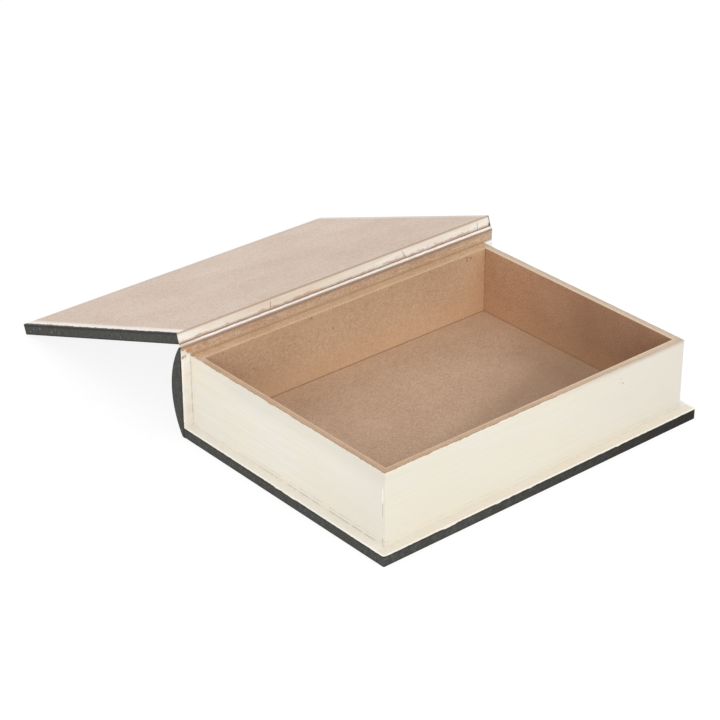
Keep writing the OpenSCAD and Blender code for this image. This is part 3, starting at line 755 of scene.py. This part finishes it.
walls = wall_finish()
for name in ("front_wall", "left_wall", "right_wall"):
    dress(name, walls)
dress("rear_wall", bare_finish("sanded_fibreboard_rear_wall", "#DCBE9F", "#C19D7F", REAR_PAINTED_LIGHT_AND_SHADE,
                               REAR_HOLES))
dress("floor_panel", bare_finish("sanded_fibreboard_floor", "#CBAE93", "#AD8C72", FLOOR_PAINTED_LIGHT_AND_SHADE))
dress("base_board", lip_finish())
dress("spine_moulding", spine_finish())
dress("lid_board", lid_finish())
dress("base_covering", covering_finish("charcoal_paper_on_base", height_above_table,
                                       cover_lo.z, lip_z, darkens=0.75))
dress("lid_covering", covering_finish("charcoal_paper_on_lid", height_in_lid,
                                      lid_back - sheet_t, lid_face, over_left=True, rubs=LID_RUBS))
dress("spine_covering", covering_finish("charcoal_paper_on_spine", nearness_to_tray,
                                        -spine_hi.y, -spine_y, over_spine=True))
pins = pin_finish()
for name in ("corner_pins", "base_pins", "spine_pins"):
    dress(name, pins)


# Hinge strip: the free part of the covering, white inside and charcoal outside. It leaves the
# spine's inner top arris, folds on the hinge axis and goes under the lid's lower arris.
def hinge_strip():
    # Half its thickness, and the depth and length of its waves, with their place in the noise
    half_thick, slack, wave_length, noise_place = 0.21 * MM, 0.1 * MM, 7 * MM, (3.7, 1.2)
    # Its gaps to the covers' ends, to the spine's inner arris and to the lid's hinge edge
    end_gap, spine_gap, lid_gap = 0.3 * MM, 0.26 * MM, 0.1 * MM
    stations = 240
    # Where it leaves the spine, where it folds, and where it goes under the lid
    foot = Vector((spine_y + spine_gap, spine_z))
    fold = Vector((axis_y, axis_z))
    under = (fold + (lid_near - lid_gap) * Vector(lid_along.yz)
             + (lid_back - sheet_t + half_thick) * Vector(lid_out.yz))
    # The section in two legs that meet at the fold. Each ring has its place on its leg, its share
    # of the way from spine to lid, how thick the paper is there, since it is creased thin at the
    # fold, and how much slack it has. None lies on the fold itself.
    spine_leg = ((0, 0, 1, 0), (0.3, 0.11, 1, 0), (0.6, 0.22, 0.8, 0), (0.85, 0.33, 0.38, 0))
    lid_leg = ((0.12, 0.56, 0.38, 0), (0.35, 0.67, 0.7, 0.8), (0.6, 0.78, 1, 1),
               (0.8, 0.89, 1, 0.6), (1, 1, 1, 0))
    section, shares = [], []
    for start, end, leg in ((foot, fold, spine_leg), (fold, under, lid_leg)):
        run = (end - start).normalized()
        normal = Vector((-run.y, run.x))
        for place, share, thick, loose in leg:
            section.append((start.lerp(end, place), normal, half_thick * thick, slack * loose))
            shares.append(share)
    mesh = bmesh.new()
    uv = mesh.loops.layers.uv.new("UVMap")
    reach = cover_half - end_gap
    rings = []
    for k in range(stations + 1):
        x = -reach + 2 * reach * k / stations
        wave = noise.noise(Vector((x / wave_length, *noise_place)))
        front, back = [], []
        for point, normal, out_by, waves_by in section:
            for side, ring in ((1, front), (-1, back)):
                spot = point + normal * (side * out_by + waves_by * wave)
                ring.append(mesh.verts.new((x, spot.x, spot.y)))
        rings.append((front, back))

    def add_face(corners, levels, material=0, smooth=False):
        face = mesh.faces.new(corners)
        face.material_index = material
        face.smooth = smooth
        for loop, level in zip(face.loops, levels):
            loop[uv].uv = (loop.vert.co.x / (2 * cover_half) + 0.5, level)

    last = len(section) - 1
    for (front, back), (next_front, next_back) in zip(rings, rings[1:]):
        for i in range(last):
            levels = [shares[i], shares[i], shares[i + 1], shares[i + 1]]
            add_face([front[i], next_front[i], next_front[i + 1], front[i + 1]], levels,
                     smooth=True)
            add_face([back[i + 1], next_back[i + 1], next_back[i], back[i]], levels[::-1],
                     material=1, smooth=True)
        for i in (0, last):
            corners = [front[i], back[i], next_back[i], next_front[i]]
            add_face(corners if i == 0 else corners[::-1], [shares[i]] * len(corners))
    for (front, back), turn in ((rings[0], -1), (rings[-1], 1)):
        mesh.faces.new((front + back[::-1])[::turn])
    bmesh.ops.recalc_face_normals(mesh, faces=mesh.faces)
    data = bpy.data.meshes.new("folded_hinge_strip")
    mesh.to_mesh(data)
    mesh.free()
    strip = bpy.data.objects.new("folded_hinge_strip", data)
    scene.collection.objects.link(strip)
    data.materials.append(lining_finish())
    # The same paper outside, with both arrises a metre away, so that no paint or darkened arris
    # lies on it
    data.materials.append(covering_finish("charcoal_paper_of_strip", height_above_table, -1.0, 1.0))
    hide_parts("hinge_strip")
    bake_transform(strip)


hinge_strip()


def seen_directly(tree):
    """1 for what is seen, directly, mirrored or through glass, and 0 for the light on things."""
    path = add(tree, "LightPath")
    seen = add(tree, "Math", {
        0: (path, "Is Camera Ray"), 1: (path, "Is Glossy Ray")}, operation="MAXIMUM")
    return add(tree, "Math", {0: seen, 1: (path, "Is Transmission Ray")}, operation="MAXIMUM")


# Floor: to the light on things a pale surface. To the eye it glows nearly white over a dark tone,
# so that the box shades it only a little.
def pale_floor():
    reach, below_box = 8.0, 0.02 * MM
    pale, dark, glow_strength = (0.86, 0.86, 0.86, 1), (0.15, 0.15, 0.15, 1), 0.88
    mesh = bpy.data.meshes.new("floor")
    corners = [(-reach, -reach, 0), (reach, -reach, 0), (reach, reach, 0), (-reach, reach, 0)]
    mesh.from_pydata(corners, [], [(0, 1, 2, 3)])
    floor = bpy.data.objects.new("floor", mesh)
    scene.collection.objects.link(floor)
    floor.location.z = -below_box
    material, tree = new_finish("pale_floor")
    seen = seen_directly(tree)
    tone = add(tree, "Mix", {"Factor": seen, "A": pale, "B": dark}, data_type="RGBA")
    matt = add(tree, "BsdfDiffuse", {"Color": tone})
    strength = add(tree, "Math", {0: seen, 1: glow_strength}, operation="MULTIPLY")
    glow = add(tree, "Emission", {"Color": (1, 1, 1, 1), "Strength": strength})
    both = add(tree, "AddShader", {0: matt, 1: glow})
    add(tree, "OutputMaterial", {"Surface": both})
    mesh.materials.append(material)


# A surround, white to the eye and dimmer as a light, and five soft lamps that face the box
def soft_light():
    as_light, as_seen = 0.755, 1.0
    middle_of_box = Vector((0, 0.05, 0.03))
    # Name, place and size in metres, and power in watts
    lamps = (("key", (1.1, -3.1, 2.9), 2.2, 22),
             ("front", (0.0, -3.6, 1.2), 2.2, 5),
             ("left", (-3.0, -2.0, 1.3), 2.2, 44),
             ("top", (0.0, -0.3, 4.0), 2.8, 11),
             ("back", (0.4, 2.5, 3.2), 2.6, 9.5))
    world = bpy.data.worlds.new("studio")
    scene.world = world
    world.use_nodes = True
    tree = world.node_tree
    tree.nodes.clear()
    strength = add(tree, "MapRange", {
        "Value": seen_directly(tree), "To Min": as_light, "To Max": as_seen})
    light = add(tree, "Background", {"Color": (1, 1, 1, 1), "Strength": strength})
    add(tree, "OutputWorld", {"Surface": light})
    for name, place, size, power in lamps:
        lamp = bpy.data.lights.new(name, "AREA")
        lamp.size, lamp.energy = size, power
        lamp_object = bpy.data.objects.new(name, lamp)
        scene.collection.objects.link(lamp_object)
        lamp_object.location = place
        facing = middle_of_box - Vector(place)
        lamp_object.rotation_euler = facing.to_track_quat("-Z", "Y").to_euler()


# Camera: its place in metres, and its turn from facing +Y, how far it looks down and its roll, in
# degrees. Sensor and lens are in millimetres.
def camera():
    place = (-0.970641, -1.059093, 0.843879)
    turn, down, roll = (math.radians(a) for a in (-40.1458, 28.7467, -0.1893))
    sensor, lens = 36, 114.95
    nearest, farthest = 0.05, 50
    data = bpy.data.cameras.new("camera")
    data.sensor_width, data.lens = sensor, lens
    data.clip_start, data.clip_end = nearest, farthest
    view = bpy.data.objects.new("camera", data)
    scene.collection.objects.link(view)
    view.matrix_world = (Matrix.Translation(place) @ Matrix.Rotation(turn, 4, "Z")
                         @ Matrix.Rotation(math.pi / 2 - down, 4, "X")
                         @ Matrix.Rotation(roll, 4, "Z"))
    scene.camera = view


camera()
pale_floor()
soft_light()
scene.view_settings.view_transform = "Standard"
